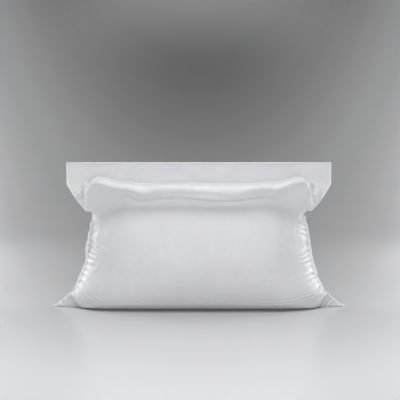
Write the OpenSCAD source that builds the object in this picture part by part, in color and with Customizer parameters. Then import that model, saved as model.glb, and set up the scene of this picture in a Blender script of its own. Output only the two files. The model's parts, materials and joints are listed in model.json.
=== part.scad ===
// Bed pillow standing on its long edge: a stuffed inner pillow closed in a two-panel
// case, with a flat, unstuffed header band along the top that folds at its foot.
// +X runs along the width, -Y is the front, +Z is up, and z = 0 is the resting surface.

/* [Overall size] */
// Width across the two lower corners of the case
case_w = 750; // [600:10:900]
// Standing height, header included
case_h = 368; // [300:2:440]
// Greatest thickness of the stuffed body, front to back
belly_t = 184; // [140:2:220]

/* [Header] */
// Width of the flat header band
header_w = 668; // [540:4:720]
// Height of the header above its fold line
header_h = 46; // [30:1:60]
// Width of the folded hem round the header's free edges
hem_w = 6; // [4:0.5:10]

/* [Cloth] */
// Wall of the case, which is cloth and the air under it
case_wall = 2; // [1.5:0.1:2.4]
// Width of a side seam outside the panels
seam_w = 4; // [3:0.5:6]
// Wall of the inner pillow's ticking
ticking_wall = 1.6; // [1.2:0.1:2]
// Thickness of one ply of the header
ply_t = 1.2; // [0.8:0.1:1.4]

/* [Filling] */
// Thickness of the middle layer of fibre
core_t = 59; // [40:1:80]

/* [Hidden] */

FRONT = -1;
BACK = 1;
LEFT = -1;
RIGHT = 1;

half_w = case_w / 2;
half_t = belly_t / 2;
panel_half_w = half_w - seam_w;
fold_z = case_h - header_h;
shoulder_z = fold_z - 4;

ply_gap = 0.4;       // between the two plies of the case
layer_gap = 2;       // between the case and the ticking
fill_gap = 1.5;      // between the ticking and the fibre
fibre_gap = 0.5;     // between one layer of fibre and the next
flat_t = 1.4;        // one ply of the unstuffed corners

groove_r = 20;       // the hollow between the shoulders, where the header is sewn in
groove_z = shoulder_z + groove_r / 2;
crease_z = groove_z - groove_r;

bead_w = 3;          // the bottom seam
bead_h = 2.4;
bead_slot = 0.2;
piping_t = 4.6;

fibre_face = core_t / 2 + fibre_gap;
fibre_far = belly_t;

interlining_t = 1.4;
interlining_r = 0.9; // its round foot, on the fold line
ply_clear = 0.1;     // between the interlining and each ply of the header
fold_clear = 1;      // from the fold line up to the plies
hem_wall = 0.5;
hem_foot = 1.5;      // from the fold line up to the hem
plies_t = interlining_t + 2 * (ply_clear + ply_t);
hem_inside_t = plies_t + 0.4;

ring_points = 40;
steps_per_span = 2;
plan_power = 4.5;    // how square a level section is along the front
edge_power = 0.7;    // how sharply it closes at the side seams

peak_h = 9;          // how far the shoulders rise towards their two ends
peak_at = 0.66;      // where they are highest, and how wide the rise is, as shares of half_w
peak_wide = 0.15;
peak_from = 0.78;    // the share of shoulder_z above which they rise

// Rows of [height, half width, half thickness] of the stuffed body, from the resting
// face up to the shoulders, as shares of shoulder_z, half_w and half_t.
body_rows = [
    [0.000, 0.775, 0.55],
    [0.040, 0.812, 0.80],
    [0.140, 0.820, 0.95],
    [0.320, 0.766, 1.00],
    [0.540, 0.733, 0.93],
    [0.730, 0.708, 0.80],
    [0.830, 0.715, 0.84],
    [0.930, 0.700, 0.74],
    [0.985, 0.665, 0.54],
    [1.000, 0.640, 0.38],
];

// The right-hand edge of the two panels, from the lower corner's tip, up past the waist
// and the neck, to the foot of the header, as shares of panel_half_w and shoulder_z.
side_rows = [
    [1.000, 0.008],
    [0.868, 0.113],
    [0.820, 0.223],
    [0.788, 0.318],
    [0.770, 0.440],
    [0.756, 0.541],
    [0.742, 0.629],
    [0.735, 0.711],
    [0.776, 0.748],
    [0.814, 0.818],
];

function spline(a, b, c, d, t) =
    (2 * b + (c - a) * t + (2 * a - 5 * b + 4 * c - d) * t * t
     + (3 * b - a - 3 * c + d) * t * t * t) / 2;

// Row number t of body_rows, where t may be a fraction.
function body_row(t) =
    let (last = len(body_rows) - 1,
         i = min(floor(t), last - 1))
    spline(body_rows[max(i - 1, 0)], body_rows[i],
           body_rows[i + 1], body_rows[min(i + 2, last)], t - i);

// How much higher than its row the shoulder stands at x, at the given share of its height.
function peak(x, height) =
    let (off = (abs(x) / half_w - peak_at) / peak_wide)
    peak_h * max(0, height - peak_from) / (1 - peak_from) * exp(-off * off);

// One ring of the stuffed body, moved in by inset on every side.
function ring(row, inset) =
    let (x = row[1] * half_w - inset,
         y = row[2] * half_t - inset,
         z = inset + row[0] * (shoulder_z - 2 * inset))
    [for (k = [0 : ring_points - 1])
        let (a = 360 * (k + 0.5) / ring_points,
             u = cos(a))
        [x * u, y * sign(sin(a)) * pow(1 - pow(abs(u), plan_power), edge_power),
         z + peak(x * u, row[0])]];

// The stuffed body without the hollow at its top.
module plain_body(inset) {
    n = ring_points;
    steps = steps_per_span * (len(body_rows) - 1);
    points = [for (s = [0 : steps]) each ring(body_row(s / steps_per_span), inset)];
    sides = [for (s = [0 : steps - 1], k = [0 : n - 1])
        let (m = (k + 1) % n)
        each [[s * n + k, s * n + n + k, s * n + m],
              [s * n + m, s * n + n + k, s * n + n + m]]];
    bottom = [for (k = [0 : n - 1]) k];
    last = steps * n;
    top = [for (k = [0 : n / 2 - 2])
        [last + k, last + n - 1 - k, last + n - 2 - k, last + k + 1]];
    polyhedron(points, concat([bottom], sides, top));
}

// The stuffed body, moved in by inset, with its hollow kept the same distance away.
module body(inset) {
    difference() {
        plain_body(inset);
        translate([0, 0, groove_z]) rotate([0, 90, 0])
            cylinder(r = groove_r + inset, h = 2 * case_w, center = true, $fn = 48);
    }
}

module skin(outer, wall) {
    difference() {
        body(outer);
        body(outer + wall);
    }
}

// A slab as thick as y_from to y_to, and larger than the pillow the other two ways.
module slab(y_from, y_to) {
    translate([-case_w, y_from, -case_h])
        cube([2 * case_w, y_to - y_from, 3 * case_h]);
}

// Everything further from the middle plane than gap, on one side of it.
module half_space(side, gap) {
    if (side == FRONT) slab(-2 * belly_t, -gap);
    else slab(gap, 2 * belly_t);
}

// A flat shape drawn with y as its height, stood up on its lower edge and centred on y = 0.
module upright(thickness) {
    rotate([90, 0, 0]) linear_extrude(thickness, center = true) children();
}

function side_edge() = concat(
    [for (p = side_rows) [p[0] * panel_half_w, p[1] * shoulder_z]],
    [[header_w / 2, crease_z + 1.2]]);

function reversed(list) = [for (i = [len(list) - 1 : -1 : 0]) list[i]];
function mirrored(list) = [for (p = list) [-p[0], p[1]]];

// The direction away from the pillow, at point i of its right-hand edge. It is level
// at the corner's tip.
function outward(edge, i) =
    let (d = edge[min(i + 1, len(edge) - 1)] - edge[max(i - 1, 0)])
    i == 0 ? [1, 0] : [d[1], -d[0]] / norm(d);

module case_outline() {
    polygon(concat(side_edge(), reversed(mirrored(side_edge()))));
}

// One panel of the case: its stuffed half and its flat corners.
module case_panel(side) {
    color("whitesmoke")
    difference() {
        union() {
            intersection() {
                body(0);
                half_space(side, ply_gap / 2);
            }
            translate([0, side * (ply_gap + flat_t) / 2, 0]) upright(flat_t) case_outline();
        }
        body(case_wall);
        translate([-case_w, -bead_w / 2 - bead_slot, -1])
            cube([2 * case_w, bead_w + 2 * bead_slot, bead_h + bead_slot + 1]);
    }
}

module side_seam(side) {
    edge = side_edge();
    outer = [for (i = [0 : len(edge) - 1]) edge[i] + seam_w * outward(edge, i)];
    strip = concat(edge, reversed(outer));
    color("white") upright(2 * flat_t + ply_gap)
        polygon(side == RIGHT ? strip : mirrored(strip));
}

// A round-topped bead along the resting edge, from corner to corner.
module bottom_seam() {
    tip = side_edge()[0][0];
    color("white") translate([0, 0, bead_h / 2]) rotate([0, 90, 0])
        linear_extrude(2 * tip, center = true)
            intersection() {
                square([bead_h, bead_w], center = true);
                circle(d = bead_w + 0.5, $fn = 32);
            }
}

// The foot of the header, sewn into the hollow between the shoulders.
module header_base_seam() {
    foot = crease_z + 1.4;
    color("white") translate([0, 0, foot]) upright(2 * flat_t + ply_gap)
        translate([-header_w / 2, 0]) square([header_w, fold_z - 2.5 - foot]);
}

module ticking_panel(side) {
    color("ivory") intersection() {
        skin(case_wall + layer_gap, ticking_wall);
        half_space(side, piping_t / 2 + 0.2);
    }
}

// The corded edge that joins the ticking's two panels all the way round.
module ticking_piping() {
    color("lightsteelblue") intersection() {
        skin(case_wall + layer_gap, ticking_wall + 1);
        slab(-piping_t / 2, piping_t / 2);
    }
}

// Thread that closes the gap the filling went in by, under the ticking.
module ticking_closing_stitch() {
    stitch_l = 180;
    color("lightsteelblue") intersection() {
        skin(case_wall + 0.9, 0.8);
        translate([-stitch_l / 2, piping_t / 2 + 0.6, 0]) cube([stitch_l, 3, 12]);
    }
}

// A blank woven label, lying on the back of the ticking.
module care_label() {
    label = [32, 46];
    color("white") intersection() {
        skin(case_wall + 0.7, 0.6);
        translate([0.48 * half_w, 20, 0.25 * shoulder_z])
            cube([label[0], belly_t, label[1]]);
    }
}

module fibre(y_from, y_to) {
    color("snow") intersection() {
        body(case_wall + layer_gap + ticking_wall + fill_gap);
        slab(y_from, y_to);
    }
}

// A rectangle that stays margin inside the header's top and ends, and foot above the fold.
module header_face(margin, foot) {
    translate([-header_w / 2 + margin, foot])
        square([header_w - 2 * margin, header_h - margin - foot]);
}

// One ply of the header, which stops short of the fold line and of the hem's fold.
module header_ply(side) {
    y = (interlining_t + ply_t) / 2 + ply_clear;
    color("whitesmoke") translate([0, side * y, fold_z])
        upright(ply_t) header_face(3 * hem_wall, fold_clear);
}

// The stiffening between the plies, with a round foot on the fold line.
module header_interlining() {
    margin = 4 * hem_wall;
    color("gainsboro") translate([0, 0, fold_z]) union() {
        rotate([0, 90, 0])
            cylinder(r = interlining_r, h = header_w - 2 * margin, center = true, $fn = 32);
        upright(interlining_t) header_face(margin, 0);
    }
}

// A strip folded over the header's top and both its ends.
module header_hem() {
    color("white") translate([0, 0, fold_z]) difference() {
        upright(hem_inside_t + 2 * hem_wall) difference() {
            header_face(0, hem_foot);
            header_face(hem_w, 0);
        }
        upright(hem_inside_t) header_face(2 * hem_wall, 0);
    }
}

// The row of thread along the hem, on the front and on the back.
module header_hem_stitching() {
    thread = 0.8;
    y = hem_inside_t / 2 + hem_wall + thread / 2;
    z = fold_z + header_h - hem_w + 2 * thread;
    for (side = [FRONT, BACK])
        color("silver") translate([0, side * y, z]) rotate([0, 90, 0])
            cylinder(d = thread, h = header_w - 2 * hem_w, center = true, $fn = 16);
}

case_panel(FRONT);  // case_front_panel
case_panel(BACK);  // case_back_panel
side_seam(LEFT);  // left_side_seam
side_seam(RIGHT);  // right_side_seam
bottom_seam();
header_base_seam();
ticking_panel(FRONT);  // ticking_front_panel
ticking_panel(BACK);  // ticking_back_panel
ticking_piping();
ticking_closing_stitch();
care_label();
fibre(-fibre_far, -fibre_face);  // front_fibre_layer
fibre(-core_t / 2, core_t / 2);  // fibre_core
fibre(fibre_face, fibre_far);  // back_fibre_layer
header_ply(FRONT);  // header_front_ply
header_interlining();
header_ply(BACK);  // header_back_ply
header_hem();
header_hem_stitching();
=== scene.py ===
"""Bed pillow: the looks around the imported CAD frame. Metres, +Z up, -Y is the front.

The case is a designed shape with its gathers in place. A cloth simulation of its two
panels starts from that shape, and what is kept of it is mainly the folds near the sides
(keep_design). More creases are added after it, and the result is split into the front and
the back panel. Everything inside is cut from the same designed shape, drawn smaller.
"""

import json
import math

import bpy
import numpy as np
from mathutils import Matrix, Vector
from mathutils.bvhtree import BVHTree


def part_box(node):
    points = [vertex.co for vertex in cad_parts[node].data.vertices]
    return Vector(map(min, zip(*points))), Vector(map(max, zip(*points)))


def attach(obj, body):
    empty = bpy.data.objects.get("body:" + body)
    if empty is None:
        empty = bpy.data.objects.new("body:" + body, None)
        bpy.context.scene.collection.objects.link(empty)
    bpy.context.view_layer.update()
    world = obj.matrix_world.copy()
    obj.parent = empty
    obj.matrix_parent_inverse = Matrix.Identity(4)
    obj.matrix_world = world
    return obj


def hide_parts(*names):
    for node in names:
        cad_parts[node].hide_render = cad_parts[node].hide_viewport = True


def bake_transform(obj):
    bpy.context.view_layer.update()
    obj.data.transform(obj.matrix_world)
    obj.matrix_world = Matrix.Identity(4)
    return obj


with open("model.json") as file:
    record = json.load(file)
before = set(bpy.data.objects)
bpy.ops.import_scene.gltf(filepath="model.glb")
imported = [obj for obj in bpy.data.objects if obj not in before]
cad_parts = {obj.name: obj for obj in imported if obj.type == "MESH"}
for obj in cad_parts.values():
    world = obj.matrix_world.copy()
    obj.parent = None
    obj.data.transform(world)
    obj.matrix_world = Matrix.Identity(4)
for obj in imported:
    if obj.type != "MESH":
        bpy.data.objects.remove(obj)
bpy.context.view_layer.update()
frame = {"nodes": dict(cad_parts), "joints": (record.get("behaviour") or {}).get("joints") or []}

# ---------------------------------------------------------------- driving sizes
MM = 0.001
HINGE = frame["joints"][0]
FOLD_Z = HINGE["pos_m"][2]
PANEL_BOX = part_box("case_front_panel")
PANEL_HALF_W = PANEL_BOX[1].x          # to the seam line; the seam bead lies outside it
SHOULDER_Z = PANEL_BOX[1].z
HALF_T = -PANEL_BOX[0].y
HEADER_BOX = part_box("header_hem")
HEADER_HALF_W = HEADER_BOX[1].x
HEADER_TOP = HEADER_BOX[1].z
CREASE_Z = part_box("header_base_seam")[0].z - 3 * MM
PLY_Y = 1.5 * MM                       # each ply of flat cloth, from the middle plane
CLOTH_T = 0.7 * MM
FLOOR_GAP = 0.4 * MM
FRONT, BACK = -1, 1
SIDES = {FRONT: "front", BACK: "back"}
LEFT, RIGHT = -1, 1
HEADER_ROWS = 22
FOLD_REACH = 6 * MM                    # the hem's foot lies this far, and 0.3 mm more, above the fold
HEM_FOOT = FOLD_Z + FOLD_REACH + 0.3 * MM

# The panel's centre line, from the bottom seam under the pillow, up the belly, over the
# shoulder and down to the header, as shares of HALF_T and SHOULDER_Z.
CENTRE_LINE = [
    (0.000, 0.000), (0.250, 0.000), (0.440, 0.003), (0.620, 0.020), (0.780, 0.053),
    (0.900, 0.108), (0.970, 0.190), (0.995, 0.310), (0.980, 0.420), (0.925, 0.545),
    (0.855, 0.640), (0.775, 0.715), (0.705, 0.775), (0.655, 0.825), (0.670, 0.858),
    (0.775, 0.864), (0.862, 0.874), (0.893, 0.903), (0.908, 0.936), (0.848, 0.963),
    (0.660, 0.979), (0.400, 0.983), (0.180, 0.979), (0.050, 0.970), (0.016, 0.962),
]
# The seam line at one side, from the lower corner's tip up to the header, as shares of
# PANEL_HALF_W and SHOULDER_Z.
SEAM_LINE = [
    (1.000, 0.004), (0.960, 0.028), (0.925, 0.063), (0.893, 0.094), (0.863, 0.107),
    (0.842, 0.145), (0.808, 0.223), (0.776, 0.308), (0.757, 0.396), (0.749, 0.459),
    (0.739, 0.541), (0.729, 0.620), (0.721, 0.692), (0.733, 0.717), (0.769, 0.730),
    (0.783, 0.755), (0.822, 0.818), (0.862, 0.896), (0.896, 0.968),
]
# The gathered stretch of the side, as shares of the cut panel's height and, for the
# same cloth, as shares of SHOULDER_Z where it ends up.
GATHER_CUT = (0.135, 0.775)
GATHER_UP = (0.113, 0.717)


# ---------------------------------------------------------------- curves
def arc_lengths(points):
    steps = np.linalg.norm(np.diff(points, axis=0), axis=1)
    return np.concatenate([[0.0], np.cumsum(steps)])


def smooth_curve(points, samples=500):
    """A smooth curve through the points, as (arc lengths, points)."""
    p = np.asarray(points, float)
    knots = arc_lengths(p)
    slope = np.gradient(p, knots, axis=0)
    t = np.linspace(0, knots[-1], samples)
    i = np.clip(np.searchsorted(knots, t, side="right") - 1, 0, len(knots) - 2)
    h = (knots[i + 1] - knots[i])[:, None]
    f = (t[:, None] - knots[i][:, None]) / h
    q = ((1 + 2 * f) * (1 - f) ** 2 * p[i] + f * (1 - f) ** 2 * h * slope[i]
         + f * f * (3 - 2 * f) * p[i + 1] + f * f * (f - 1) * h * slope[i + 1])
    return arc_lengths(q), q


def along(curve, s):
    lengths, points = curve
    return np.stack([np.interp(s, lengths, points[:, k]) for k in range(points.shape[1])], -1)


def ease(x):
    x = np.clip(x, 0, 1)
    return x * x * (3 - 2 * x)


def between(x, low, high, soft):
    """1 between low and high, falling to 0 over soft at each end."""
    return ease((x - low) / soft + 0.5) * ease((high - x) / soft + 0.5)


def wander(rng, x, count, low, high):
    """A smooth random curve of x in 0 to 1 that stays between low and high."""
    values = rng.uniform(low, high, count)
    i = np.clip((x * (count - 1)).astype(int), 0, count - 2)
    f = ease(x * (count - 1) - i)
    return values[i] * (1 - f) + values[i + 1] * f


# ---------------------------------------------------------------- the designed shape
class Design:
    """The pillow's smooth shape, moved in by inset. A row is one height of the cut cloth."""

    def __init__(self, inset=0.0, flat_corners=True):
        self.inset = inset
        self.flat_corners = flat_corners
        depth, height = HALF_T - inset, SHOULDER_Z - 2 * inset
        self.centre = smooth_curve([(y * depth, inset + z * height) for y, z in CENTRE_LINE])
        self.seam = smooth_curve([(x * PANEL_HALF_W - inset, inset + z * height)
                                  for x, z in SEAM_LINE])
        self.cut_h = self.centre[0][-1]
        seam_s = self.seam[0]
        ends = [inset + z * height for z in GATHER_UP]
        marks = np.interp(ends, self.seam[1][:, 1], seam_s)
        self.cut_marks = np.array([0, *(g * self.cut_h for g in GATHER_CUT), self.cut_h])
        self.seam_marks = np.array([0, *marks, seam_s[-1]])

    def cut_half_w(self, s):
        return np.interp(s, [0, self.cut_h], [PANEL_HALF_W, self.seam[1][-1, 0]])

    def stuffed_half_w(self, t):
        """How far the filling reaches on a row, t of the way up the cut."""
        shares = np.interp(t, [0, 0.06, 0.11, 0.145, 0.18, 0.25, 0.35, 0.72, 0.78, 0.84, 0.88,
                               0.94, 0.96, 0.98, 1],
                           [0.72, 0.83, 0.87, 0.875, 0.865, 0.83, 0.80, 0.74, 0.775, 0.80, 0.82,
                            0.85, 0.83, 0.78, 0.71])
        return shares * PANEL_HALF_W - self.inset

    def rows(self, s, u, side):
        """Points of the rows at cut heights s, at shares u of their cut width."""
        t = s / self.cut_h
        centre = along(self.centre, s)
        edge = along(self.seam, np.interp(s, self.cut_marks, self.seam_marks))
        reach = np.minimum(self.stuffed_half_w(t), edge[:, 0])
        wedge = ease((t - 0.765) / 0.045)
        ridge = np.interp(t, [0.76, 0.80, 0.84, 0.90, 0.96], [0.785, 0.757, 0.728, 0.702, 0.690])
        ridge = np.minimum(ridge * PANEL_HALF_W - self.inset, 0.97 * reach)
        turn = np.interp(t, [0, 0.10, 0.20, 0.74, 0.82, 1], [0.86, 0.84, 0.66, 0.60, 0.79, 0.79])
        square = 8.0 - 3.5 * ease((t - 0.08) / 0.26)
        out = np.zeros((len(s), len(u), 3))
        for i in range(len(s)):
            k = np.linspace(0, 1, 300) ** 0.5
            blunt = np.clip(1 - k ** square[i], 0, 1) ** 0.7
            at = ridge[i] / reach[i]
            tapered = np.where(k < at, 1 - 0.30 * (k / at) ** 6, 0.70 * (1 - k) / (1 - at))
            depth = blunt * (1 - wedge[i]) + tapered * wedge[i]
            out[i] = self.row(centre[i], edge[i], reach[i] * k, depth, np.abs(u))
            f = np.clip((np.abs(u) - turn[i]) / (1 - turn[i]), 0, 1)
            drop = ease(f) * (1 - wedge[i]) + f * wedge[i]
            out[i, :, 2] = centre[i, 1] + (edge[i, 1] - centre[i, 1]) * drop
        out[:, :, 0] *= np.sign(u)[None, :]
        out[:, :, 1] *= side
        return self.lift_ends(out, t)

    def row(self, centre, edge, x, depth, u):
        """One row's points at the shares u of its cloth, still level."""
        flat_y = min(PLY_Y, centre[0])
        y = (centre[0] - flat_y) * depth + flat_y
        if self.flat_corners and edge[0] > x[-1]:
            x = np.append(x, edge[0])
            y = np.append(y, flat_y)
        lengths = arc_lengths(np.stack([x, y], 1))
        x = np.interp(u * lengths[-1], lengths, x)
        y = np.interp(u * lengths[-1], lengths, y)
        return np.stack([x, y, np.zeros(len(u))], 1)

    def lift_ends(self, points, t):
        """The shoulders stand a little higher towards their ends."""
        x = np.abs(points[:, :, 0]) / PANEL_HALF_W
        up = between(t, 0.72, 0.975, 0.05)[:, None]
        points[:, :, 2] += 0.0160 * up * np.exp(-((x - 0.675) / 0.125) ** 2)
        points[:, :, 2] += 0.004 * up * np.exp(-((x - 0.45) / 0.03) ** 2)
        return points


def grid_normals(points, side):
    across = np.gradient(points, axis=1)
    up = np.gradient(points, axis=0)
    n = np.cross(across, up) * -side
    return n / np.maximum(np.linalg.norm(n, axis=2, keepdims=True), 1e-9)


# ---------------------------------------------------------------- folds to start from
def fold_phase(rng, shortest, longest):
    """Where along the cut cloth each fold starts, and its number."""
    marks = np.cumsum(np.concatenate([[0], rng.uniform(shortest, longest, 90)]))
    return marks, np.arange(len(marks))


def gathers(design, s, u, side, hand):
    """Offsets, outwards, of the gathers that run in from one side seam."""
    rng = np.random.default_rng(71 + 3 * hand + 10 * side)
    t = s / design.cut_h
    distance = ((1 - np.abs(u)) * PANEL_HALF_W)[None, :]
    slant = wander(rng, t, 9, 0.0, 0.9)
    reach = wander(rng, t, 16, 0.010, 0.034)
    height = wander(rng, t, 18, 0.2, 1.4)
    marks, turns = fold_phase(rng, 0.013, 0.030)
    slanted = s[:, None] + slant[:, None] * distance
    folds = np.cos(2 * np.pi * np.interp(slanted, marks, turns))
    folds = folds * np.exp(-distance / reach[:, None]) * ease(distance / 0.008)
    return 0.0042 * folds * (height * between(t, 0.11, 0.78, 0.05))[:, None]


def shoulder_lobes(points, t, side):
    """The soft, uneven lobes along the shoulder, as a rise and fall of its lower edge."""
    rng = np.random.default_rng(91 + side)
    x = np.clip(points[:, :, 0] / PANEL_HALF_W / 2 + 0.5, 0, 1)
    level = between(t, 0.70, 0.85, 0.06)[:, None]
    return 0.005 * wander(rng, x, 17, -1, 1) * level


def start_folds(design, s, u, points, side):
    out = np.zeros(points.shape[:2])
    for hand in (LEFT, RIGHT):
        half = gathers(design, s, u, side, hand)
        out += np.where((np.sign(u) == hand)[None, :], half, 0)
    return out


def seam_lumps(design, s, hand):
    """How far the side seam wanders outwards and to the back, in its gathered stretch."""
    rng = np.random.default_rng(17 + hand)
    t = s / design.cut_h
    out = 0.0026 * wander(rng, t, 13, -1, 1) + 0.0009 * wander(rng, t, 37, -1, 1)
    back = 0.0020 * wander(rng, t, 33, -1, 1)
    window = between(t, 0.13, 0.765, 0.03)
    return out * window, back * window


# ---------------------------------------------------------------- creases
def rounded_folds(phase):
    """Soft ridges from 0 to 1 with sharp valleys between them."""
    return np.abs(np.sin(np.pi * phase)) ** 0.8


def narrow_ridges(phase, width):
    return np.exp(-(((phase % 1) - 0.5) / width) ** 2)


def side_creases(design, s, u, side, hand):
    """The crisp puckers right beside a side seam, in fans."""
    rng = np.random.default_rng(171 + 3 * hand + 10 * side)
    t = s / design.cut_h
    distance = ((1 - np.abs(u)) * PANEL_HALF_W)[None, :]
    slant = wander(rng, t, 11, 0.2, 1.6)
    reach = wander(rng, t, 13, 0.006, 0.026)
    height = np.clip(wander(rng, t, 15, -0.7, 1.6), 0.08, None)
    marks, turns = fold_phase(rng, 0.0065, 0.0125)
    slanted = s[:, None] + slant[:, None] * distance
    folds = rounded_folds(np.interp(slanted, marks, turns)) - 0.6
    folds = folds * np.exp(-(distance / reach[:, None]) ** 1.5) * ease(distance / 0.005)
    return 0.0040 * folds * (height * between(t, 0.12, 0.79, 0.03))[:, None]


def faceted(rng, x, z, count, angles, lengths, shape):
    """The sum of a few sets of straight folds, each at a random angle and spacing."""
    out = np.zeros_like(x)
    for _ in range(count):
        angle = rng.uniform(*angles)
        length = rng.uniform(*lengths)
        phase = (x * math.cos(angle) + z * math.sin(angle)) / length + rng.uniform(0, 1)
        out += shape(phase, length)
    return out


def corner_facets(points, t, side, hand):
    """The sharp facets between the shoulder's end and the side seam."""
    rng = np.random.default_rng(31 + side + 4 * hand)
    x, z = np.abs(points[:, :, 0]), points[:, :, 2]
    out = faceted(rng, x, z, 6, (-0.3, 1.2), (0.015, 0.028),
                  lambda phase, length: (np.abs(phase % 1 - 0.5) * 4 - 1) * length)
    ridge_x = np.interp(z, [0.245, 0.275, 0.300, 0.330], [0.290, 0.284, 0.273, 0.260])
    arc_x = np.interp(z, [0.240, 0.290, 0.305, 0.315, 0.330], [0.330, 0.321, 0.308, 0.294, 0.264])
    zone = ease((x - ridge_x) / 0.007) * ease((arc_x - x) / 0.014)
    return 0.080 * out * zone * ease((z - 0.232) / 0.012) * (t > 0.76)[:, None]


def ear_creases(points, side, hand):
    """The small folds in a flat lower corner, and its knot."""
    rng = np.random.default_rng(53 + side + 4 * hand)
    x, z = np.abs(points[:, :, 0]), points[:, :, 2]
    out = faceted(rng, x, -z, 4, (-0.2, 1.1), (0.011, 0.020),
                  lambda phase, length: rounded_folds(phase) - 0.6)
    zone = between(x, 0.314, 0.366, 0.012) * ease((0.047 - z) / 0.010)
    knot = np.exp(-((x - 0.329) / 0.010) ** 2 - ((z - 0.033) / 0.008) ** 2)
    return 0.0024 * out * zone + 0.0065 * knot


def floor_creases(points, side, hand):
    """Short slanting creases low at one end, and long curved ones at the other."""
    x, z = np.abs(points[:, :, 0]), points[:, :, 2]
    rng = np.random.default_rng(5)
    phase = (x - z / 0.42) / 0.023
    strength = wander(rng, np.clip(x / 0.35, 0, 1), 14, 0.2, 1.3)
    short = narrow_ridges(phase, 0.20) * strength
    short *= between(x, 0.135, 0.310, 0.03) * between(z, 0.012, 0.036, 0.008)
    level = z - 0.016 - 0.030 * np.clip((x - 0.15) / 0.18, 0, 2) ** 2.2
    long = narrow_ridges(level / 0.0085 + 0.5, 0.18)
    long *= between(x, 0.150, 0.330, 0.05) * between(level, -0.006, 0.016, 0.006)
    facing = points[:, :, 1] * side > 0.012
    return (0.0025 * short if hand * side > 0 else 0.0017 * long) * facing


def neck_ledge(points):
    """The sharp level step out to the belly, near each end of the neck."""
    x, z = np.abs(points[:, :, 0]), points[:, :, 2]
    level = z - 0.2325 - 0.05 * np.maximum(x - 0.25, 0)
    below = ease((0.002 - level) / 0.007) * ease(1 + level / 0.030)
    above = ease((0.002 + level) / 0.007) * ease(1 - level / 0.022)
    return (0.0048 * below - 0.0008 * above) * between(x, 0.235, 0.280, 0.030)


def cloth_wear(points, side):
    """Faint dents and hanging folds all over the belly and the shoulders."""
    rng = np.random.default_rng(131 + side)
    x, z = points[:, :, 0], points[:, :, 2]
    out = np.zeros_like(x)
    for _ in range(26):
        at_x, at_z = rng.uniform(-0.27, 0.27), rng.uniform(0.03, 0.30)
        tall, wide = rng.uniform(0.012, 0.045), rng.uniform(0.006, 0.028)
        lean = rng.uniform(-0.5, 0.5)
        off = (x - at_x - lean * (z - at_z)) / wide
        out += rng.uniform(-1, 1) * np.exp(-off ** 2 - ((z - at_z) / tall) ** 2)
    return 0.0011 * out * ease((np.abs(points[:, :, 1]) - 0.03) / 0.02)


def shoulder_dents(points, side):
    """Small dents that break up the shine along the shoulder."""
    rng = np.random.default_rng(151 + side)
    x, z = points[:, :, 0], points[:, :, 2]
    out = np.zeros_like(x)
    for _ in range(40):
        at_x, at_z = rng.uniform(-0.20, 0.20), rng.uniform(0.284, 0.316)
        wide, tall = rng.uniform(0.009, 0.022), rng.uniform(0.004, 0.009)
        dent = np.exp(-((x - at_x) / wide) ** 2 - ((z - at_z) / tall) ** 2)
        out += rng.uniform(-1, 0.5) * dent
    return 0.0012 * out


def creases(design, s, u, points, side):
    """Offsets, outwards, of every crease on one side's simulated cloth."""
    t = s / design.cut_h
    out = cloth_wear(points, side) + shoulder_dents(points, side) + neck_ledge(points)
    for hand in (LEFT, RIGHT):
        half = side_creases(design, s, u, side, hand) + corner_facets(points, t, side, hand)
        half = half + ear_creases(points, side, hand) + floor_creases(points, side, hand)
        out += np.where((np.sign(u) == hand)[None, :], half, 0)
    out[:, [0, -1]] = 0
    out[[0, -1]] = 0
    return out


# ---------------------------------------------------------------- the cloth simulation
FRAMES = 30
ROWS = 126
EDGE_COLUMNS = 26
MIDDLE_COLUMNS = 17
EDGE_FROM = 0.73
SWELLING_OUT = 0.85                    # the share of the broad swelling that is taken out
FOLD_BREADTH = 30 * MM                 # what moves together over more than this is swelling
MOST_MOVED = 14 * MM
INNER_FOLDS = 0.12                     # the share of the folds kept away from the sides
FOLDS_FADE = (0.66, 0.22)              # where across the cloth they fade, and over how much


def column_shares():
    middle = np.linspace(0, EDGE_FROM, MIDDLE_COLUMNS + 1)[:-1]
    half = np.concatenate([middle, np.linspace(EDGE_FROM, 1, EDGE_COLUMNS + 1)])
    return np.concatenate([-half[::-1][:-1], half])


def shared_grid(rows, columns):
    """Vertex numbers of the front and back grids, which share the seams' vertices."""
    front = np.arange(rows * columns).reshape(rows, columns)
    back = np.full((rows, columns), -1)
    back[:, 0] = front[:, 0]
    back[:, -1] = front[:, -1]
    back[0, :] = front[0, :]
    inner = back < 0
    back[inner] = rows * columns + np.arange(inner.sum())
    return front, back


def quads(grid, flip):
    q = np.stack([grid[:-1, :-1], grid[:-1, 1:], grid[1:, 1:], grid[1:, :-1]], -1)
    q = q.reshape(-1, 4)
    return q[:, ::-1] if flip else q


def mesh_object(name, points, faces):
    mesh = bpy.data.meshes.new(name)
    mesh.from_pydata(np.asarray(points).tolist(), [], np.asarray(faces).tolist()
                     if isinstance(faces, np.ndarray) else faces)
    mesh.update()
    obj = bpy.data.objects.new(name, mesh)
    bpy.context.scene.collection.objects.link(obj)
    return obj


def weight_group(obj, name, weights):
    group = obj.vertex_groups.new(name=name)
    for i in np.flatnonzero(weights > 0):
        group.add([int(i)], float(weights[i]), "REPLACE")
    return group


def read_points(mesh):
    co = np.zeros(len(mesh.vertices) * 3)
    mesh.vertices.foreach_get("co", co)
    return co.reshape(-1, 3)


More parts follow.
